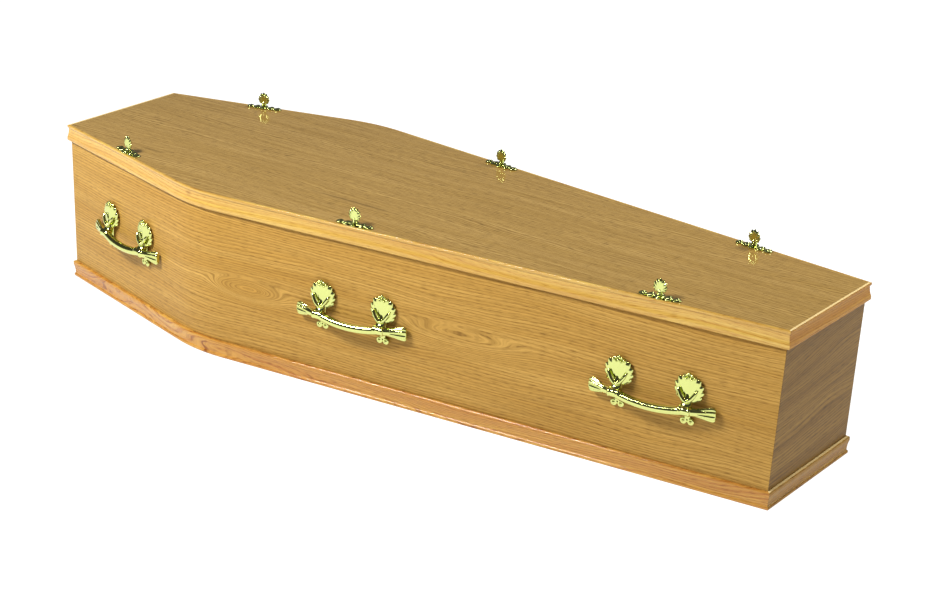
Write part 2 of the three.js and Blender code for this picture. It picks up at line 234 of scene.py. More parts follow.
# a ramp's stops are place and brightness
RING_STOPS = [(0.0, 0.8), (0.12, 1.0), (0.4, 0.2), (0.8, 0.0), (1.0, 0.8)]
TONE_STOPS = [(0.3, 1.0), (0.7, 0.0)]
FINE_LINE_STOPS = [(0.34, 1.0), (0.6, 0.0)]
PORE_STOPS = [(0.34, 1.0), (0.52, 0.0)]
# painted highlight: how far a face looks up sets how much of the paler tone it takes
PAINTED_HIGHLIGHT_STOPS = [(0.7, 0.0), (0.95, 0.9)]
OUTSIDE_THE_RINGS = 0.4
PORE_BUMP = {"Strength": 0.2, "Distance": 0.15 * MM, "invert": True}
LACQUER_ROUGHNESS, COAT_ROUGHNESS = 0.42, 0.1


def oak(name, tones, along="X", across="Z", wander=10.0, seed=0.0, eyes=(), streaks=(), slant=0.0,
        ring_depth=0.5, line_depth=0.7, pore_depth=0.85, gloss=0.12, coat=0.0, painted_highlight_tone=None):
    """tones are the pale, middle, dark and pore colours. wander is how far slow noise pushes the grain
    aside, in rings. eyes and streaks are placed marks. The last argument is the colour of a painted
    highlight on faces that look up."""
    material, tree = new_material(name)
    board, bent, flow = grain_of(tree, along, across, slant, wander, seed, eyes)

    def mostly_in(pattern):
        return maths(tree, "MULTIPLY_ADD", pattern, 1 - OUTSIDE_THE_RINGS, OUTSIDE_THE_RINGS)

    ragged = maths(tree, "MULTIPLY", noise(tree, flow, RAGGED_CELL, 1.0), RAGGED_SHARE)
    rings = maths(tree, "FRACT", maths(tree, "MULTIPLY_ADD", bent, 1 / RING_WIDTH, ragged))
    ring_dark = ramp_of(tree, rings, RING_STOPS)
    broad = ramp_of(tree, noise(tree, flow, TONE_CELL, 1.0), TONE_STOPS)
    fine = ramp_of(tree, noise(tree, flow, FINE_LINE_CELL, 2.0), FINE_LINE_STOPS)
    pores = ramp_of(tree, noise(tree, flow, PORE_CELL, 1.0), PORE_STOPS)
    early_pores = maths(tree, "MULTIPLY", pores, mostly_in(ring_dark))

    pale, middle, dark, pore_tone = tones
    wood = blend(tree, broad, pale, middle)
    wood = blend(tree, maths(tree, "MULTIPLY", ring_dark, ring_depth), wood, dark)
    wood = blend(tree, maths(tree, "MULTIPLY", fine, line_depth), wood, dark)
    wood = blend(tree, maths(tree, "MULTIPLY", early_pores, pore_depth), wood, pore_tone)
    for streak in streaks:
        share = maths(tree, "MULTIPLY", oval(tree, board, seed, streak), mostly_in(fine))
        wood = blend(tree, share, wood, pore_tone)
    # a painted highlight: faces that look up take the paler tone
    if painted_highlight_tone:
        upwards = separate(tree, add_node(tree, "ShaderNodeNewGeometry").outputs["Normal"])["Z"]
        wood = blend(tree, ramp_of(tree, upwards, PAINTED_HIGHLIGHT_STOPS), wood, painted_highlight_tone)

    bump = add_node(tree, "ShaderNodeBump", PORE_BUMP, {"Height": early_pores})
    shader = add_node(tree, "ShaderNodeBsdfPrincipled",
                      {"Roughness": LACQUER_ROUGHNESS, "Specular IOR Level": gloss, "Coat Weight": coat,
                       "Coat Roughness": COAT_ROUGHNESS},
                      {"Base Color": wood, "Normal": bump.outputs[0]})
    add_node(tree, "ShaderNodeOutputMaterial", links={"Surface": shader.outputs[0]})
    return material


print("pores are drawn", PORE_CELL[0], "mm long and", PORE_CELL[1], "mm wide")

# %% [markdown]
# Each finish is the same wood with its own tones, direction and marks. On the end mouldings the faces
# that look up take a paler tone: a painted highlight for the light that their top edges catch.

# %% The oak finishes
# The right side shows an eye before its shoulder handle and two arches towards the foot
SIDE_EYES = ((-292, 175, 145, 38, 7.9), (250, 190, 260, 44, 4.4))
# The lid shows dark streaks near its head end and along both long edges
LID_STREAKS = ((-694, -183, 60, 9, 0.7), (-110, -151, 190, 8, 0.8), (-104, 173, 190, 7, 0.6))
SIDE_TONES = ("#cea354", "#be9143", "#906a2d", "#634119")
LID_TONES = ("#c7a25b", "#ba954d", "#957235", "#6c5022")
# the ends' tones are darker than the sides': painted shade for the foot end, which faces away from the soft
# box. The head end shares them.
END_TONES = ("#a57e36", "#8e6826", "#5d4118", "#3a270d")
LID_MOULDING_TONES = ("#ddb95d", "#cfa34a", "#b57e2f", "#976524")
# darker than the lid moulding's tones: painted shade for the foot end, which faces away from the soft box
LID_END_TONES = ("#d29e44", "#c68c37", "#a66821", "#8a5217")
BASE_MOULDING_TONES = ("#d3a44c", "#c58e3d", "#a15c1e", "#7e4516")
# darker than the base moulding's tones: painted shade for the foot end, which faces away from the soft box
BASE_END_TONES = ("#bd923c", "#b07f30", "#8a591c", "#6a4015")
# the paler tone of the painted highlight on the end mouldings' faces that look up
PAINTED_TOP_HIGHLIGHT = "#f4d99a"
MILD = {"ring_depth": 0.35, "line_depth": 0.5, "pore_depth": 0.6, "gloss": 0.0}
LIVELY = {"ring_depth": 0.5, "line_depth": 0.4, "wander": 20.0, "gloss": 0.0}
OAK_SIDE = oak("lacquered oak veneer, sides", SIDE_TONES, eyes=SIDE_EYES, wander=7.0, line_depth=0.5,
               pore_depth=0.6)
OAK_LID = oak("lacquered oak veneer, lid", LID_TONES, across="Y", seed=3.1, gloss=0.0, coat=1.0,
              streaks=LID_STREAKS)
OAK_BASE = oak("lacquered oak veneer, base", SIDE_TONES, across="Y", seed=4.4, wander=7.0)
OAK_END = oak("lacquered oak veneer, ends", END_TONES, along="Y", seed=7.7, slant=-0.1, wander=14.0,
              ring_depth=0.4, line_depth=0.45, pore_depth=0.5)
LID_MOULDING_KNOT = ((-453, 372, 16, 7, 0.9),)
OAK_LID_MOULDING = oak("solid oak, lid moulding", LID_MOULDING_TONES, seed=5.0,
                       coat=1.0, streaks=LID_MOULDING_KNOT, **MILD)
OAK_LID_END = oak("solid oak, lid end moulding", LID_END_TONES, along="Y", seed=2.0, coat=0.4,
                  painted_highlight_tone=PAINTED_TOP_HIGHLIGHT, **MILD)
OAK_BASE_MOULDING = oak("solid oak, base moulding", BASE_MOULDING_TONES, seed=9.0, coat=0.8, **LIVELY)
OAK_BASE_END = oak("solid oak, base end moulding", BASE_END_TONES, along="Y", seed=6.0, coat=0.4,
                   painted_highlight_tone=PAINTED_TOP_HIGHLIGHT, **LIVELY)
print("oak finishes:", [m.name for m in bpy.data.materials if "oak" in m.name])

# %% [markdown]
# ## Electro-brass
#
# The handles and screws are castings plated with brass by electricity and lacquered: a thin, very smooth
# skin of pale, slightly greenish yellow. Being metal, its colour is all in its reflections.

# %% The brass material
RIPPLE_SIZE = 4 * MM
BRASS_BUMP = {"Strength": 0.15, "Distance": 0.2 * MM}
BRASS_COLOUR, BRASS_ROUGHNESS = "#d3da86", 0.09


def brass(name, colour, roughness):
    material, tree = new_material(name)
    place = add_node(tree, "ShaderNodeTexCoord").outputs["Object"]
    ripple = add_node(tree, "ShaderNodeTexNoise", {"Scale": 1 / RIPPLE_SIZE, "Detail": 2.0},
                      {"Vector": place}).outputs["Fac"]
    gloss = add_node(tree, "ShaderNodeMapRange", {"To Min": roughness * 0.8, "To Max": roughness * 1.3},
                     {"Value": ripple}).outputs[0]
    bump = add_node(tree, "ShaderNodeBump", BRASS_BUMP, {"Height": ripple})
    shader = add_node(tree, "ShaderNodeBsdfPrincipled",
                      {"Base Color": linear(colour), "Metallic": 1.0},
                      {"Roughness": gloss, "Normal": bump.outputs[0]})
    add_node(tree, "ShaderNodeOutputMaterial", links={"Surface": shader.outputs[0]})
    return material


ELECTRO_BRASS = brass("lacquered electro-brass", BRASS_COLOUR, BRASS_ROUGHNESS)
print("metal finish:", ELECTRO_BRASS.name)

# %% [markdown]
# The solids that stay in view, the boards of the lid, the base and the ends, get their finish here. The
# rest are given one too, and are replaced by finer pieces further on.

# %% Give the solids their finishes
def finish_with(piece, material):
    piece.data.materials.clear()
    piece.data.materials.append(material)


def finish_for(name):
    if name.startswith(("handle", "lid_screw")):
        return ELECTRO_BRASS
    if name.startswith("lid_moulding"):
        return OAK_LID_MOULDING
    if name.startswith("base_moulding"):
        return OAK_BASE_MOULDING
    if name == "lid_board":
        return OAK_LID
    if name == "base_board":
        return OAK_BASE
    if name.endswith("_panel"):
        return OAK_END
    return OAK_SIDE


for node_name, node in nodes.items():
    finish_with(node, finish_for(node_name))
print("solids with a finish:", len(nodes))

# %% [markdown]
# ## Modelling helpers
#
# Each new piece starts as a small primitive and is shaped in edit mode, as by hand. An operator acts on
# all that is selected, so each helper begins by deselecting everything. Without a window the rotate
# operator turns the other way, so one helper changes the sign and names the centre. Sizes and places are
# in millimetres from here on. Only the centre given to turn and the plane of a cut are in metres, ready for
# their operators.

# %% Turn, move and copy a piece
def turn(angle, axis, centre):
    bpy.ops.transform.rotate(value=-angle, orient_axis=axis, center_override=centre)


def pick(piece):
    bpy.ops.object.select_all(action="DESELECT")
    bpy.context.view_layer.objects.active = piece
    piece.select_set(True)


def edit_all(piece):
    pick(piece)
    bpy.ops.object.mode_set(mode="EDIT")
    bpy.ops.mesh.select_all(action="SELECT")


def leave_edit():
    bpy.ops.mesh.select_all(action="SELECT")
    bpy.ops.mesh.normals_make_consistent(inside=False)
    bpy.ops.object.mode_set(mode="OBJECT")
    return bpy.context.object


def swing(piece, degrees, axis, centre=(0, 0, 0)):
    edit_all(piece)
    turn(math.radians(degrees), axis, Vector(centre) * MM)
    return leave_edit()


def shift(piece, move):
    edit_all(piece)
    bpy.ops.transform.translate(value=Vector(move) * MM)
    return leave_edit()


def copy_of(piece, name):
    copy = piece.copy()
    copy.data = piece.data.copy()
    copy.name = name
    bpy.context.scene.collection.objects.link(copy)
    return copy


def mirrored_copy(piece, name, scale):
    """scale is -1 on the mirrored axis. That turns the skin inside out, and leave_edit mends it."""
    edit_all(copy_of(piece, name))
    bpy.ops.transform.resize(value=scale, center_override=(0, 0, 0))
    return leave_edit()


def join(pieces, name):
    bpy.ops.object.select_all(action="DESELECT")
    for piece in pieces:
        piece.select_set(True)
    bpy.context.view_layer.objects.active = pieces[0]
    bpy.ops.object.join()
    pieces[0].name = name
    return pieces[0]


# %% [markdown]
# ### A pen for outlines
#
# A moulding's section or a turned stem's profile is drawn like a pen line: a plane is merged to a single
# vertex, the vertex is extruded for a straight stretch and spun for a round one.

# %% Draw an outline
def pen_down(name, place):
    bpy.ops.object.select_all(action="DESELECT")
    bpy.ops.mesh.primitive_plane_add(size=MM, enter_editmode=True, location=(0, 0, 0))
    bpy.context.object.name = name
    bpy.ops.mesh.merge(type="CENTER")
    bpy.ops.mesh.select_mode(type="VERT")
    bpy.ops.mesh.select_all(action="SELECT")
    bpy.ops.transform.translate(value=Vector(place) * MM)


def pen_move(*move):
    bpy.ops.mesh.extrude_region_move(TRANSFORM_OT_translate={"value": Vector(move) * MM})


def pen_arc(centre, degrees, steps, axis="X"):
    """Turns anticlockwise about the axis, which the spin operator counts as negative"""
    direction = Vector([float(letter == axis) for letter in "XYZ"])
    bpy.ops.mesh.spin(steps=steps, angle=-math.radians(degrees), center=Vector(centre) * MM,
                      axis=direction)


# %% [markdown]
# ## Boards and mouldings
#
# On the real coffin each side is one board whose back is sawn with close grooves at the shoulder, so that
# it bends, and its mouldings are bent round it. So each is one section, extruded along the head stretch,
# spun round the shoulder and extruded along the foot stretch. The corners are mitred with bisect.

# %% The plan of the box
BOX_LENGTH = 1946
HEAD_TO_SHOULDER = 540
HEAD_WIDTH = 350
SHOULDER_WIDTH = 635
FOOT_WIDTH = 323
WALL_HEIGHT = 369
FOOT_LEAN = 15
MOULDING_HEIGHT = 39
BEND_RADIUS = 400
SIDE_THICKNESS = 16
TOUCH_GAP = 0.3
LID_OVERHANG = 1
HEAD_X = -BOX_LENGTH / 2
FOOT_X = BOX_LENGTH / 2
LID_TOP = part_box("lid_board")[1].z / MM


class WallLine:
    """A straight stretch of the left side, seen from above, from the head towards the foot"""

    def __init__(self, start, end):
        self.start = Vector(start)
        self.along = (Vector(end) - self.start).normalized()
        self.outward = Vector((-self.along.y, self.along.x))
        self.angle = math.atan2(self.along.y, self.along.x)

    def y_at(self, x, out):
        level = self.start + self.outward * out
        return level.y + (x - level.x) * self.along.y / self.along.x


SHOULDER = (HEAD_X + HEAD_TO_SHOULDER, SHOULDER_WIDTH / 2)
HEAD_LINE = WallLine((HEAD_X, HEAD_WIDTH / 2), SHOULDER)
FOOT_LINE = WallLine(SHOULDER, (FOOT_X, FOOT_WIDTH / 2))
BEND_ANGLE = HEAD_LINE.angle - FOOT_LINE.angle
TANGENT = BEND_RADIUS * math.tan(BEND_ANGLE / 2)
BEND_START = Vector(SHOULDER) - HEAD_LINE.along * TANGENT
BEND_CENTRE = BEND_START - HEAD_LINE.outward * BEND_RADIUS
FOOT_STRETCH = (Vector((FOOT_X, FOOT_WIDTH / 2)) - Vector(SHOULDER)).length
print("bend of", round(math.degrees(BEND_ANGLE), 1), "degrees, starting at", BEND_START)

# %% [markdown]
# The foot panel leans in towards the floor, and the mouldings in front of it stand upright. So the place
# of the foot's face at a height is a function, one for the panel and one for each moulding.

# %% The faces of the foot
def foot_x(height):
    return FOOT_X - FOOT_LEAN * (1 - height / WALL_HEIGHT)


def lid_foot_x(height):
    return FOOT_X


def base_foot_x(height):
    return foot_x(MOULDING_HEIGHT)


def corner(end, out, height, foot_face):
    """A point of a left corner, set out from both walls by the same amount"""
    if end == "head":
        x = HEAD_X - out
        return Vector((x, HEAD_LINE.y_at(x, out), height))
    x = foot_face(height) + out
    return Vector((x, FOOT_LINE.y_at(x, out), height))


print("the foot's face, in mm:", round(foot_x(0), 1), "below and", round(foot_x(WALL_HEIGHT), 1), "above")

# %% Draw the sections
BEAD_DEPTH, BEAD_RADIUS, BEAD_TURN, BEAD_EDGE = 5.7, 4, 66, 1.5
QUIRK_DEPTH, QUIRK_TOP = 3.2, 9
NOSE_DEPTH, NOSE_BOTTOM = 6.7, 30
BOARD_EDGE = 0.6
EDGE_STEPS, ARC_STEPS = 4, 8


def draw_moulding(name, back, bead_up, toe=0.0):
    """Section in the plane across the run: out is +Y, up is +Z, with the square-edged bead at the bottom.
    toe is how much further back the section reaches at the bottom."""
    bead_centre = Vector((0, back + BEAD_DEPTH - BEAD_RADIUS, BEAD_RADIUS))
    bead_rotation = Matrix.Rotation(math.radians(BEAD_TURN), 3, "X")
    bead_end = bead_centre + bead_rotation @ Vector((0, BEAD_RADIUS, 0))
    quirk = Vector((0, back + QUIRK_DEPTH, QUIRK_TOP))
    nose = Vector((0, back + NOSE_DEPTH, NOSE_BOTTOM))
    hollow = nose - quirk
    hollow_radius = (hollow.y ** 2 + hollow.z ** 2) / (2 * hollow.y)
    hollow_turn = math.degrees(math.asin(hollow.z / hollow_radius))
    nose_radius = NOSE_DEPTH / 2
    pen_down(name, (0, back - toe, 0))
    pen_move(0, toe + BEAD_DEPTH - BEAD_EDGE, 0)
    pen_arc((0, back + BEAD_DEPTH - BEAD_EDGE, BEAD_EDGE), 90, EDGE_STEPS)
    pen_move(0, 0, BEAD_RADIUS - BEAD_EDGE)
    pen_arc(bead_centre, BEAD_TURN, ARC_STEPS)
    pen_move(*(quirk - bead_end))
    pen_arc(quirk + Vector((0, hollow_radius, 0)), -hollow_turn, ARC_STEPS)
    pen_move(0, 0, MOULDING_HEIGHT - nose_radius - NOSE_BOTTOM)
    nose_centre = (0, back + NOSE_DEPTH - nose_radius, MOULDING_HEIGHT - nose_radius)
    pen_arc(nose_centre, 90, ARC_STEPS)
    pen_move(0, nose_radius - NOSE_DEPTH, 0)
    bpy.ops.mesh.select_all(action="SELECT")
    bpy.ops.mesh.edge_face_add()
    if bead_up:
        bpy.ops.transform.resize(value=(1, 1, -1), center_override=(0, 0, 0))
        bpy.ops.transform.translate(value=(0, 0, LID_TOP * MM))


def draw_board(name):
    pen_down(name, (0, -SIDE_THICKNESS, 0))
    pen_move(0, SIDE_THICKNESS, 0)
    pen_move(0, 0, WALL_HEIGHT)
    pen_move(0, -SIDE_THICKNESS, 0)
    bpy.ops.mesh.select_all(action="SELECT")
    bpy.ops.mesh.edge_face_add()
    bpy.ops.mesh.bevel(offset=BOARD_EDGE * MM, affect="VERTICES", segments=2)
    bpy.ops.mesh.select_all(action="SELECT")


print("mouldings are", MOULDING_HEIGHT, "mm high and the lid's stands out", LID_OVERHANG + NOSE_DEPTH, "mm")

# %% Run a section along a side, and cut its mitres
OVERRUN = 60
BEND_STEPS = 28
STEP_OUT = 100
SHARP_ANGLE = 30


def mitre(end, foot_face, inwards=0.0):
    """A place on the plane through a corner, which stands at half the corner's angle, and its normal"""
    origin = corner(end, 0, 0, foot_face)
    across = corner(end, STEP_OUT, 0, foot_face) - origin
    upward = corner(end, 0, STEP_OUT, foot_face) - origin
    normal = across.cross(upward).normalized()
    if normal.x * (1 if end == "foot" else -1) < 0:
        normal.negate()
    return (origin - normal * inwards) * MM, normal


def cut_beyond(place, normal):
    """Cuts off what lies beyond a plane and closes the cut"""
    bpy.ops.mesh.select_all(action="SELECT")
    bpy.ops.mesh.bisect(plane_co=place, plane_no=normal, use_fill=True, clear_outer=True)


def run_along_side(foot_face):
    """Carries the section that is being edited along the left side, and mitres it at both ends"""
    before = (BEND_START - HEAD_LINE.start).length + OVERRUN
    after = FOOT_LINE.along * (FOOT_STRETCH - TANGENT + OVERRUN)
    turn(HEAD_LINE.angle, "Z", (0, 0, 0))
    first = BEND_START - HEAD_LINE.along * before
    bpy.ops.transform.translate(value=(first.x * MM, first.y * MM, 0))
    pen_move(*(HEAD_LINE.along * before), 0)
    pen_arc((*BEND_CENTRE, 0), -math.degrees(BEND_ANGLE), BEND_STEPS, "Z")
    pen_move(*after, 0)
    cut_beyond(*mitre("head", foot_face))
    cut_beyond(*mitre("foot", foot_face))
    return leave_edit()


def smooth(piece):
    """Shades smooth all edges but those that turn by more than SHARP_ANGLE degrees"""
    pick(piece)
    bpy.ops.object.shade_smooth_by_angle(angle=math.radians(SHARP_ANGLE))


def put_in(piece, material, slot, *replaced):
    """Gives a finished piece its finish and its place on the body, and hides the solids that it stands for
    """
    finish_with(piece, material)
    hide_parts(*replaced)
    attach(piece, "root")


def both_sides(left_piece, node, material, slot):
    smooth(left_piece)
    right_piece = mirrored_copy(left_piece, f"{node}_right_bent", (1, -1, 1))
    smooth(right_piece)
    put_in(left_piece, material, slot, f"{node}_left")
    put_in(right_piece, material, slot, f"{node}_right")


# %% The boards and mouldings of the two sides
LID_BACK = LID_OVERHANG + TOUCH_GAP
draw_board("side_panel_left_bent")
both_sides(run_along_side(foot_x), "side_panel", OAK_SIDE, "oak_veneer")
draw_moulding("base_moulding_left_bent", TOUCH_GAP, False)
both_sides(run_along_side(base_foot_x), "base_moulding", OAK_BASE_MOULDING, "solid_oak_base")
draw_moulding("lid_moulding_left_bent", LID_BACK, True)
both_sides(run_along_side(lid_foot_x), "lid_moulding", OAK_LID_MOULDING, "solid_oak_lid")

# %% [markdown]
# The short mouldings at the two ends use the same sections. Each is drawn along the left side's plane of
# section, turned to face its end and extruded across it. All their fronts are upright. The foot panel
# leans in behind the base moulding, so there the section's back is widened towards the floor.

# %% Mouldings across the ends
MITRE_GAP = 0.25


def run_across_end(end, foot_face):
    is_foot = end == "foot"
    turn(math.radians(-90 if is_foot else 90), "Z", (0, 0, 0))
    reach = (FOOT_WIDTH if is_foot else HEAD_WIDTH) / 2 + OVERRUN
    wall = foot_face(0) if is_foot else HEAD_X
    bpy.ops.transform.translate(value=(wall * MM, -reach * MM, 0))
    pen_move(0, 2 * reach, 0)
    # The plane that bounds a side piece bounds the end piece from its other side
    place, normal = mitre(end, foot_face, -MITRE_GAP)
    cut_beyond(place, -normal)
    mirror = Vector((1, -1, 1))
    cut_beyond(place * mirror, -normal * mirror)
    return leave_edit()


for end in ("head", "foot"):
    toe = foot_x(MOULDING_HEIGHT) - foot_x(0) if end == "foot" else 0.0
    draw_moulding(f"base_moulding_{end}_run", TOUCH_GAP, False, toe)
    piece = run_across_end(end, base_foot_x)
    smooth(piece)
    put_in(piece, OAK_BASE_END, "solid_oak_base", f"base_moulding_{end}")
    draw_moulding(f"lid_moulding_{end}_run", LID_BACK, True)
    piece = run_across_end(end, lid_foot_x)
    smooth(piece)
    put_in(piece, OAK_LID_END, "solid_oak_lid", f"lid_moulding_{end}")

# %% [markdown]
# ## Castings
#
# Handles and screws are cast in one piece from a carved pattern, so their parts run into each other with
# soft hollows. Each part is drawn as a bar through rings: a circle is extruded, moved, resized and
# leaned, ring by ring. The overlapping bars are then melted into one skin by a voxel remesh, which is
# smoothed a little and thinned.

# %% Draw a bar through rings
def ring_start(name, sides, half_width, half_depth):
    bpy.ops.object.select_all(action="DESELECT")
    bpy.ops.mesh.primitive_circle_add(vertices=sides, radius=1, fill_type="NGON", enter_editmode=True,
                                      location=(0, 0, 0))
    bpy.context.object.name = name
    bpy.ops.transform.resize(value=(half_width * MM, half_depth * MM, 1), center_override=(0, 0, 0))


def bar(name, rings, sides=12):
    """Upright bar. A ring is (centre, half width, half depth, lean), the lean in degrees about X."""
    centres = [Vector(ring[0]) * MM for ring in rings]
    leans = [math.radians(ring[3]) for ring in rings]
    ring_start(name, sides, rings[0][1], rings[0][2])
    turn(leans[0], "X", (0, 0, 0))
    bpy.ops.transform.translate(value=centres[0])
    for k in range(1, len(rings)):
        bpy.ops.mesh.extrude_region_move(TRANSFORM_OT_translate={"value": centres[k] - centres[k - 1]})
        turn(-leans[k - 1], "X", centres[k])
        widen, deepen = (rings[k][n] / rings[k - 1][n] for n in (1, 2))
        bpy.ops.transform.resize(value=(widen, deepen, 1), center_override=centres[k])
        turn(leans[k], "X", centres[k])
    return leave_edit()


def lying_bar(name, rings, sides, flutes=0):
    """Bar along X. A ring is (centre, half height, half depth, leans about Y and Z, depth of flutes)."""
    centres = [Vector(ring[0]) * MM for ring in rings]
    leans = [[math.radians(lean) for lean in ring[3]] for ring in rings]
    ring_start(name, sides, rings[0][1], rings[0][2])
    turn(math.radians(90), "Y", (0, 0, 0))
    turn(leans[0][0], "Y", (0, 0, 0))
    turn(leans[0][1], "Z", (0, 0, 0))
    bpy.ops.transform.translate(value=centres[0])
    for k in range(1, len(rings)):
        bpy.ops.mesh.extrude_region_move(TRANSFORM_OT_translate={"value": centres[k] - centres[k - 1]})
        turn(-leans[k - 1][1], "Z", centres[k])
        turn(-leans[k - 1][0], "Y", centres[k])
        heighten, deepen = (rings[k][n] / rings[k - 1][n] for n in (1, 2))
        bpy.ops.transform.resize(value=(1, deepen, heighten), center_override=centres[k])
        turn(leans[k][0], "Y", centres[k])
        turn(leans[k][1], "Z", centres[k])
    for k, ring in enumerate(rings):
        if ring[4]:
            pinch(centres[k], ring[4], range(k * sides, (k + 1) * sides, sides // flutes))
    return leave_edit()


def pinch(centre, depth, numbers):
    """Draws some vertices of a ring in towards its centre, which starts the hollow of a flute"""
    edited = bmesh.from_edit_mesh(bpy.context.edit_object.data)
    edited.verts.ensure_lookup_table()
    for face in edited.faces:
        face.select = False
    for vertex in edited.verts:
        vertex.select = vertex.index in numbers
    bmesh.update_edit_mesh(bpy.context.edit_object.data)
    bpy.ops.transform.resize(value=(1, 1 - depth, 1 - depth), center_override=centre)


def bead(name, place, size):
    bpy.ops.object.select_all(action="DESELECT")
    bpy.ops.mesh.primitive_ico_sphere_add(subdivisions=3, radius=MM, enter_editmode=True,
                                          location=(0, 0, 0))
    bpy.context.object.name = name
    bpy.ops.transform.resize(value=size, center_override=(0, 0, 0))
    bpy.ops.transform.translate(value=Vector(place) * MM)
    return leave_edit()


def hoop(name, place, radius, thickness, shrink=(1, 1, 1)):
    """A ring that lies flat. Unequal shrinking makes it an oval."""
    bpy.ops.object.select_all(action="DESELECT")
    bpy.ops.mesh.primitive_torus_add(major_radius=radius * MM, minor_radius=thickness * MM,
                                     major_segments=24, minor_segments=8, location=(0, 0, 0))
    bpy.context.object.name = name
    edit_all(bpy.context.object)
    bpy.ops.transform.resize(value=shrink, center_override=(0, 0, 0))
    bpy.ops.transform.translate(value=Vector(place) * MM)
    return leave_edit()


# %% Melt the parts into one casting
def sides_of(middle):
    """What is off the middle line stands on both sides, and what is on it stands once"""
    return (1,) if middle == 0 else (1, -1)


def modify(piece, kind, **settings):
    pick(piece)
    modifier = piece.modifiers.new(kind.lower(), kind)
    for key, value in settings.items():
        setattr(modifier, key, value)
    bpy.ops.object.modifier_apply(modifier=modifier.name)


def cast(parts, name, grain, soften, share_kept):
    """grain is the size of the remesh's cells, and soften how many times the skin is smoothed"""
    whole = join(parts, name)
    modify(whole, "REMESH", mode="VOXEL", voxel_size=grain * MM)
    modify(whole, "SMOOTH", factor=0.5, iterations=soften)
    modify(whole, "DECIMATE", ratio=share_kept)
    bpy.ops.object.shade_smooth()
    triangles = sum(len(face.vertices) - 2 for face in whole.data.polygons)
    print(name, "has", triangles, "triangles")
    return whole


# %% [markdown]
# ### The handle
#
# A bar that sags and bows out between two knuckles, and curves back to the wall in fluted trumpets at its
# ends. Each knuckle hangs on a neck that grows out of a lobed leaf on the wall, through a calyx of two
# curled petals. Below the bar a stem ends in a pair of scrolls. The leaf is a fan of rounded ribs over a
# thin shell. It is modelled against a wall at y = 0, with the bar towards -Y and its knuckles at z = 0.

# %% The bar and its knuckles
GRIP_STAND_OFF = 21.5
GRIP_RADIUS = 9.2
GRIP_SAG = 8
GRIP_BOW = 6
KNUCKLE_SPACING = 155
GRIP_STEPS = (-3, 12, 26, 40, 54, 66, 77.5, 86)
GRIP_SIDES, KNUCKLE_SIDES, FLUTES = 32, 20, 8
# place along the bar, half height, half depth, depth of flutes
FLARE = ((94, 8.8, 8.6, 0.0), (102, 9.0, 7.8, 0.08), (109, 10.2, 7.4, 0.18), (116, 11.8, 7.2, 0.26),
         (123, 13.8, 7.3, 0.3), (130, 15.4, 7.4, 0.3), (135, 15.9, 7.2, 0.28), (138.5, 14.2, 6.4, 0.2),
         (140, 10.5, 5.0, 0.1), (140, 5.0, 2.8, 0.0))
# place along the knuckle, radius
KNUCKLE = ((-14, 8.4), (-12.5, 10), (-10, 10.6), (-7.5, 9.6), (0, 10.2), (7.5, 9.6), (10, 10.6),
           (12.5, 10), (14, 8.4))


def grip_centre(along):
    """The centre line sags between the knuckles, and bows out from the wall over its whole length"""
    share = (2 * along / KNUCKLE_SPACING) ** 2
    return Vector((along, -GRIP_STAND_OFF - GRIP_BOW * (1 - share), -GRIP_SAG * max(0, 1 - share)))


def grip_ring(along, half_height, half_depth, flute):
    run = grip_centre(along + 1) - grip_centre(along - 1)
    leans = (-math.degrees(math.atan2(run.z, run.x)), math.degrees(math.atan2(run.y, run.x)))
    return (grip_centre(along), half_height, half_depth, leans, flute)


def half_grip():
    rings = [grip_ring(along, GRIP_RADIUS, GRIP_RADIUS, 0) for along in GRIP_STEPS]
    rings += [grip_ring(*place) for place in FLARE]
    return lying_bar("half_grip", rings, GRIP_SIDES, FLUTES)


def knuckle():
    rings = [((along, -GRIP_STAND_OFF, 0), radius, radius, (0, 0), 0) for along, radius in KNUCKLE]
    return lying_bar("knuckle", rings, KNUCKLE_SIDES)


print("the bar's middle:", grip_centre(0), "its end:", grip_centre(FLARE[-1][0]))

# %% The neck, the calyx and the scrolled feet
# a ring is (centre, half width, half depth, lean in degrees)
NECK = (((0, -5, 32), 12.5, 3.5, 180), ((0, -8, 24), 11.6, 5.0, 165), ((0, -12, 16), 11.0, 5.6, 145),
        ((0, -15.5, 10), 11.6, 6.2, 135), ((0, -19, 5), 12.8, 7.2, 135), ((0, -21.5, 1), 13.8, 7.4, 135))
PETAL = (((1.5, -17, 15), 5.0, 3.2, 0), ((6, -18, 20), 5.6, 3.6, 0), ((11, -17.5, 26), 5.0, 3.6, 0),
         ((15, -16.5, 32), 4.6, 3.2, 0), ((18, -15, 38), 4.0, 3.0, 0), ((20, -13, 42.5), 2.6, 2.2, 0))
BUD = (((0, -17, 17), 4.6, 2.0, 0), ((0, -14.5, 23), 5.6, 2.2, 0), ((0, -12.5, 29), 3.2, 1.8, 0),
       ((0, -11, 34), 0.8, 0.8, 0))
STEM = (((0, -4, -24), 6.5, 3.4, 0), ((0, -4.2, -10), 6.0, 3.8, 0), ((0, -5, 6), 8.5, 4.6, 0),
        ((0, -5, 18), 10.0, 4.0, 0))
SCROLL_SPACING = 16
SCROLL_DROP = 29
CURL_RADIUS, CURL_THICKNESS, CURL_STAND_OFF = 5.2, 2.7, 4.6
EYE_SIZE, EYE_STAND_OFF = (3.4, 3.2, 3.4), 6.2
BACK_SIZE, BACK_STAND_OFF = (6.5, 2.4, 6.5), 2.6


def calyx():
    petal = bar("petal", PETAL)
    return [petal, mirrored_copy(petal, "petal", (-1, 1, 1)), bar("bud", BUD, 10)]


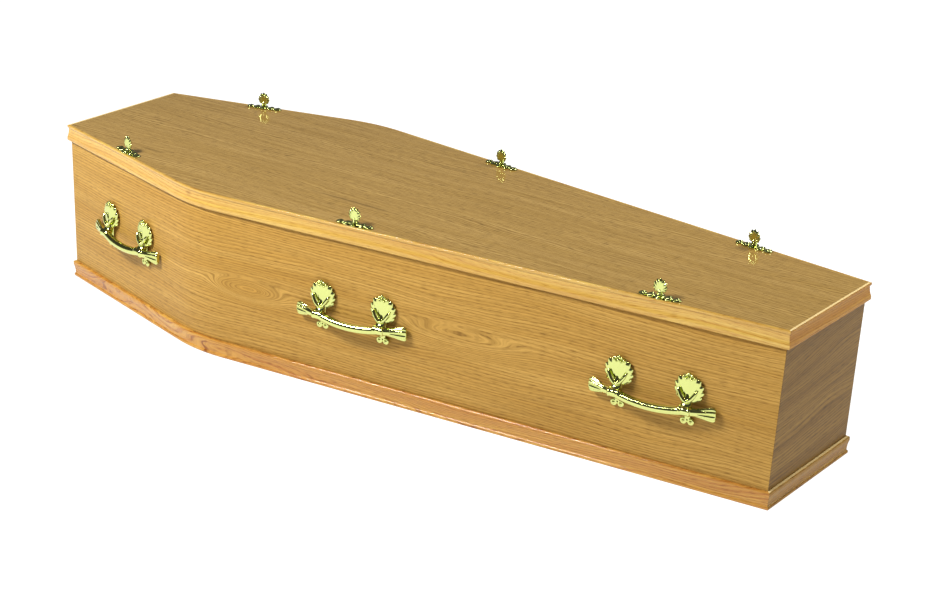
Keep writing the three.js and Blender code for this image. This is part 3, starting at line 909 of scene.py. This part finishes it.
def scroll(side):
    """A curl of wire round a bead, with a flat bead behind them"""
    across = side * SCROLL_SPACING / 2
    curl = swing(hoop("curl", (0, 0, 0), CURL_RADIUS, CURL_THICKNESS), 90, "X")
    return [shift(curl, (across, -CURL_STAND_OFF, -SCROLL_DROP)),
            bead("eye", (across, -EYE_STAND_OFF, -SCROLL_DROP), EYE_SIZE),
            bead("back", (across, -BACK_STAND_OFF, -SCROLL_DROP), BACK_SIZE)]


print("from the scrolls to the top of the calyx:", SCROLL_DROP + PETAL[-1][0][2], "mm")

# %% The leaf
LEAF_FOOT = 15
# angle from upright in degrees, length, half width
LEAF_RIBS = ((0, 58, 6.4), (12, 57.5, 6.2), (24, 54.5, 6.6), (37, 48, 6.8), (50, 40, 6.8), (64, 31, 6.4))
# the cluster of small lobes at the tip: place across, distance from the wall, height, radius
LEAF_CREST = ((0, 8.5, 74.5, 3.8), (6, 9, 71.5, 3.6), (11.5, 9, 67, 3.2), (0, 11, 67.5, 3.2),
              (5.5, 10.5, 64, 2.8))
CREST_HEIGHT = 0.9
RIB_STEPS = 8
RIB_SIDES = 10
RIB_DEPTH_SHARE = 0.42
SHELL_STEPS = 8
SHELL_LENGTH, SHELL_HALF_WIDTH, SHELL_HALF_DEPTH = 55, 29, 3.9


def rib(angle, length, half_width):
    """One rib of the leaf: it widens from 0.45 of its half width to a lobe that the root rounds off,
    and stands out from the wall by 11.5 at its foot and 6 at its tip, with a low arch between"""
    rings = []
    for k in range(RIB_STEPS + 1):
        share = k / RIB_STEPS
        swell = min(0.45 + 0.75 * share, 3.2 * math.sqrt(1.03 - share), 1.0)
        stand = 11.5 - 5.5 * share - 0.03 * abs(angle) + 0.8 * math.sin(math.pi * share)
        rings.append(((0, -stand, LEAF_FOOT + length * share), half_width * swell,
                      half_width * RIB_DEPTH_SHARE * swell, 0))
    return swing(bar("rib", rings, RIB_SIDES), angle, "Y", (0, 0, LEAF_FOOT))


def shell():
    """The thin back of the leaf, which closes the gaps between the ribs. Its outline is a stretch of a
    sine, which gives it a blunt foot and a narrow tip."""
    rings = []
    for k in range(SHELL_STEPS + 1):
        share = k / SHELL_STEPS
        wide = max(3.0, SHELL_HALF_WIDTH * math.sin(math.pi * (0.17 + 0.79 * share)) ** 0.75)
        stand = 7.8 - 3.6 * share
        rings.append(((0, -stand, LEAF_FOOT + 1 + SHELL_LENGTH * share), wide, SHELL_HALF_DEPTH, 0))
    return bar("shell", rings, 24)


def leaf():
    ribs = [rib(side * angle, length, half)
            for angle, length, half in LEAF_RIBS for side in sides_of(angle)]
    crest = [bead("crest", (side * across, -stand, height), (size, size, size * CREST_HEIGHT))
             for across, stand, height, size in LEAF_CREST for side in sides_of(across)]
    return ribs + [shell()] + crest


print("the leaf's longest rib reaches", LEAF_FOOT + LEAF_RIBS[0][1], "mm above the knuckles")

# %% Cast the handle
HANDLE_CAST = {"grain": 0.7, "soften": 3, "share_kept": 0.25}


def handle_casting():
    mount = join([bar("neck", NECK, 16), knuckle(), bar("stem", STEM), *calyx(), *scroll(1), *scroll(-1),
                  *leaf()], "mount")
    shift(mount, (KNUCKLE_SPACING / 2, 0, 0))
    grip = half_grip()
    parts = [mount, mirrored_copy(mount, "mount", (-1, 1, 1)), grip,
             mirrored_copy(grip, "half_grip", (-1, 1, 1))]
    return cast(parts, "handle_casting", **HANDLE_CAST)


handle_pattern = handle_casting()

# %% [markdown]
# ### The lid screw
#
# A lid screw is turned by hand: a pointed leaf to grip, a turned stem and collar, and a shank that goes
# through the lid into the wall. The stem is a pen line spun once round. Its plate is a row of scalloped
# lobes, each with a raised edge and two bosses, that lies on the lid over the wall.

# %% Turn the stem
SCREW_SHANK_RADIUS = 3
SCREW_SHANK_DEPTH = 38
COLLAR_FOOT = 6.3


def stem_and_shank():
    """The outline goes up from the point: the shank, the collar, two smaller rings and the taper"""
    pen_down("screw_stem", (0, 0, -SCREW_SHANK_DEPTH))
    pen_move(SCREW_SHANK_RADIUS, 0, SCREW_SHANK_RADIUS * 2)
    pen_move(0, 0, SCREW_SHANK_DEPTH - SCREW_SHANK_RADIUS * 2 + COLLAR_FOOT)
    pen_move(3.2, 0, 0)
    pen_arc((SCREW_SHANK_RADIUS + 3.2, 0, COLLAR_FOOT + 1.2), -180, 6, "Y")
    pen_move(-1.6, 0, 0.6)
    pen_arc((SCREW_SHANK_RADIUS + 1.6, 0, COLLAR_FOOT + 3.9), -180, 6, "Y")
    pen_move(-1.4, 0, 1.0)
    pen_move(0.2, 0, 3.0)
    pen_arc((SCREW_SHANK_RADIUS + 0.4, 0, COLLAR_FOOT + 9.6), -180, 6, "Y")
    pen_move(-1.8, 0, 8.0)
    pen_move(-(SCREW_SHANK_RADIUS - 1.4), 0, 2.0)
    bpy.ops.mesh.select_all(action="SELECT")
    bpy.ops.mesh.spin(steps=20, angle=2 * math.pi, center=(0, 0, 0), axis=(0, 0, 1))
    bpy.ops.mesh.select_all(action="SELECT")
    bpy.ops.mesh.remove_doubles(threshold=0.01 * MM)
    return leave_edit()


print("the shank goes", SCREW_SHANK_DEPTH, "mm down from the top of the lid")

# %% Its leaf and its plate
SCREW_LEAF_FOOT = 13
# angle from upright in degrees, length, half width
SCREW_RIBS = ((0, 27, 4.2), (17, 25.5, 4.0), (35, 22.5, 4.0), (55, 18, 3.8), (76, 13, 3.2))
# place along the plate, half width across it
PLATE_LOBES = ((0, 15), (19, 12), (-19, 12), (37, 9.6), (-37, 9.6))
PLATE_SPINE = (((0, 0, -46), 2.4, 2.2, 0), ((0, 0, -20), 3.4, 3.0, 0), ((0, 0, 20), 3.4, 3.0, 0),
               ((0, 0, 46), 2.4, 2.2, 0))
LOBE_HALF_LENGTH = 10
OUTER_LOBE_SHARE = 0.85
# a big hoop is shrunk to the oval of a lobe's edge
BIG_HOOP, BIG_HOOP_THICKNESS = 1000, 150
EDGE_INSET, EDGE_SHRINK = 1.6, 0.0105
BOSS_SIZE, BOSS_PLACE = (2.6, 2.6, 2.0), 0.45
HEART_HEIGHT, HEART_SIZE = 18, (6.0, 3.4, 6.0)
SCREW_RIB_STEPS = 5
SCREW_CAST = {"grain": 0.45, "soften": 2, "share_kept": 0.35}
PLATE_CAST = {"grain": 0.5, "soften": 2, "share_kept": 0.35}


def screw_rib(angle, length, half_width):
    rings = []
    for k in range(SCREW_RIB_STEPS + 1):
        share = k / SCREW_RIB_STEPS
        swell = min(0.55 + 0.8 * share, 2.2 * math.sqrt(1.04 - share), 1.0)
        rings.append(((0, 0, SCREW_LEAF_FOOT + length * share), half_width * swell,
                      (5.0 - 2.4 * share) * swell, 0))
    return swing(bar("screw_rib", rings, RIB_SIDES), angle, "Y", (0, 0, SCREW_LEAF_FOOT))


def lid_screw():
    ribs = [screw_rib(side * angle, length, half)
            for angle, length, half in SCREW_RIBS for side in sides_of(angle)]
    heart = bead("screw_heart", (0, 0, HEART_HEIGHT), HEART_SIZE)
    return cast([stem_and_shank(), *ribs, heart], "screw_casting", **SCREW_CAST)


def screw_plate():
    parts = [swing(bar("spine", PLATE_SPINE), 90, "Y")]
    for along, half in PLATE_LOBES:
        long = LOBE_HALF_LENGTH * (1 if along == 0 else OUTER_LOBE_SHARE)
        shrink = ((long - EDGE_INSET) / BIG_HOOP, (half - EDGE_INSET) / BIG_HOOP, EDGE_SHRINK)
        parts.append(bead("lobe", (along, 0, 1.2), (long, half, 2.6)))
        parts.append(hoop("lobe_edge", (along, 0, 2.2), BIG_HOOP, BIG_HOOP_THICKNESS, shrink))
        for side in (1, -1):
            parts.append(bead("lobe_boss", (along, side * half * BOSS_PLACE, 3.2), BOSS_SIZE))
    plate = cast(parts, "plate_casting", **PLATE_CAST)
    edit_all(plate)
    bpy.ops.mesh.bisect(plane_co=(0, 0, 0), plane_no=(0, 0, -1), use_fill=True, clear_outer=True)
    leave_edit()
    return plate


screw_pattern = lid_screw()
plate_pattern = screw_plate()

# %% [markdown]
# ### Where the castings stand
#
# Three handles and three screws stand on each side. Each is a copy of its pattern, turned to follow the
# stretch of wall that it stands on.

# %% Place the castings
GRIP_HEIGHT = 175


def stations_from(from_head, from_foot, shift_to_foot):
    """Outer stations by their distance from the ends, and the middle one near halfway between them"""
    head = HEAD_X + from_head
    foot = FOOT_X - from_foot
    return {"head": head, "middle": (head + foot) / 2 + shift_to_foot, "foot": foot}


HANDLE_STATIONS = stations_from(260, 270, -5)
SCREW_STATIONS = stations_from(252, 276, -4)


def stand_on_wall(pattern, name, side, x, out, height, node):
    """Copies a pattern made against a wall at y = 0 to its station, turned to follow the wall"""
    line = HEAD_LINE if x < BEND_CENTRE.x else FOOT_LINE
    copy = copy_of(pattern, name)
    edit_all(copy)
    turn(math.pi + line.angle if side == 1 else -line.angle, "Z", (0, 0, 0))
    bpy.ops.transform.translate(value=Vector((x, side * line.y_at(x, out), height)) * MM)
    leave_edit()
    put_in(copy, ELECTRO_BRASS, "electro_brass", node)


for side_name, side in (("right", -1), ("left", 1)):
    for station, x in HANDLE_STATIONS.items():
        tag = f"{side_name}_{station}"
        stand_on_wall(handle_pattern, f"cast_handle_{tag}", side, x, 0, GRIP_HEIGHT, f"handle_{tag}")
    for station, x in SCREW_STATIONS.items():
        tag = f"{side_name}_{station}"
        on_lid = (side, x, -SIDE_THICKNESS / 2, LID_TOP + TOUCH_GAP)
        stand_on_wall(screw_pattern, f"cast_lid_screw_{tag}", *on_lid, f"lid_screw_{tag}")
        stand_on_wall(plate_pattern, f"cast_screw_plate_{tag}", *on_lid, f"lid_screw_plate_{tag}")
for pattern in (handle_pattern, screw_pattern, plate_pattern):
    bpy.data.objects.remove(pattern)

# %% [markdown]
# ## Floor, light and air
#
# The photograph was taken in a dark studio on a white ground. The bar of each handle mirrors the room:
# yellow below from the ground, a white line from a long, thin soft box high in front, and dark above it.
# So the ground here glows white, and is a hair below the base so that the two faces don't meet.

# %% The floor
FLOOR_SIZE = 60
PAPER = {"Base Color": linear("#8c8c8c"), "Roughness": 0.9, "Specular IOR Level": 0.1,
         "Emission Color": linear("#ffffff"), "Emission Strength": 0.97}

bpy.ops.object.select_all(action="DESELECT")
bpy.ops.mesh.primitive_plane_add(size=FLOOR_SIZE, location=(0, 0, -TOUCH_GAP * MM))
floor = bpy.context.object
floor.name = "floor"
floor_material, floor_tree = new_material("matt white paper")
paper = add_node(floor_tree, "ShaderNodeBsdfPrincipled", PAPER)
add_node(floor_tree, "ShaderNodeOutputMaterial", links={"Surface": paper.outputs[0]})
finish_with(floor, floor_material)
print("the floor lies", TOUCH_GAP, "mm below the base")

# %% [markdown]
# The soft box hangs in front, towards the head. A smaller light stands behind the foot and brightens the
# lid and the top edges there.

# %% The lights
# each light's place, target and size in metres, and its power in watts
LIGHTS = {"soft box": ((-1.52, -2.67, 3.28), (0, 0, 0.2), (1.6, 0.55), 228),
          "light behind the foot": ((1.5, 1.5, 2.0), (0.6, 0, 0.38), (0.8, 0.8), 38)}


def aimed_light(name, place, target, size, power):
    data = bpy.data.lights.new(name, "AREA")
    data.shape = "RECTANGLE"
    data.size, data.size_y = size
    data.energy = power
    light = bpy.data.objects.new(name, data)
    bpy.context.scene.collection.objects.link(light)
    light.location = place
    light.rotation_euler = (Vector(target) - Vector(place)).to_track_quat("-Z", "Y").to_euler()


for light_name, settings in LIGHTS.items():
    aimed_light(light_name, *settings)

# %% [markdown]
# The air is dark, and a little paler at the horizon. Behind the coffin it pales further to a wall, low
# down, which the lid's lacquer mirrors.

# %% The air
# a ramp's stops are height or distance behind, as a share of the direction, and brightness
AIR_STOPS = [(0.0, 0.12), (0.4, 0.05), (1.0, 0.08)]
LOW_STOPS = [(0.35, 1.0), (0.6, 0.0)]
BEHIND_STOPS = [(0.3, 0.0), (0.7, 0.1)]

world = bpy.data.worlds.new("studio air")
world.use_nodes = True
world.node_tree.nodes.clear()
air = world.node_tree
direction = separate(air, add_node(air, "ShaderNodeTexCoord").outputs["Generated"])
wall_height = ramp_of(air, direction["Z"], LOW_STOPS)
wall_glow = ramp_of(air, direction["Y"], BEHIND_STOPS)
glow = maths(air, "MULTIPLY_ADD", wall_height, wall_glow, ramp_of(air, direction["Z"], AIR_STOPS))
background = add_node(air, "ShaderNodeBackground", {"Strength": 1.0}, {"Color": glow})
add_node(air, "ShaderNodeOutputWorld", links={"Surface": background.outputs[0]})
bpy.context.scene.world = world
# the standard view shows each colour as it is, with no film curve
bpy.context.scene.view_settings.view_transform = "Standard"
print("air:", world.name, "with", len(air.nodes), "nodes")
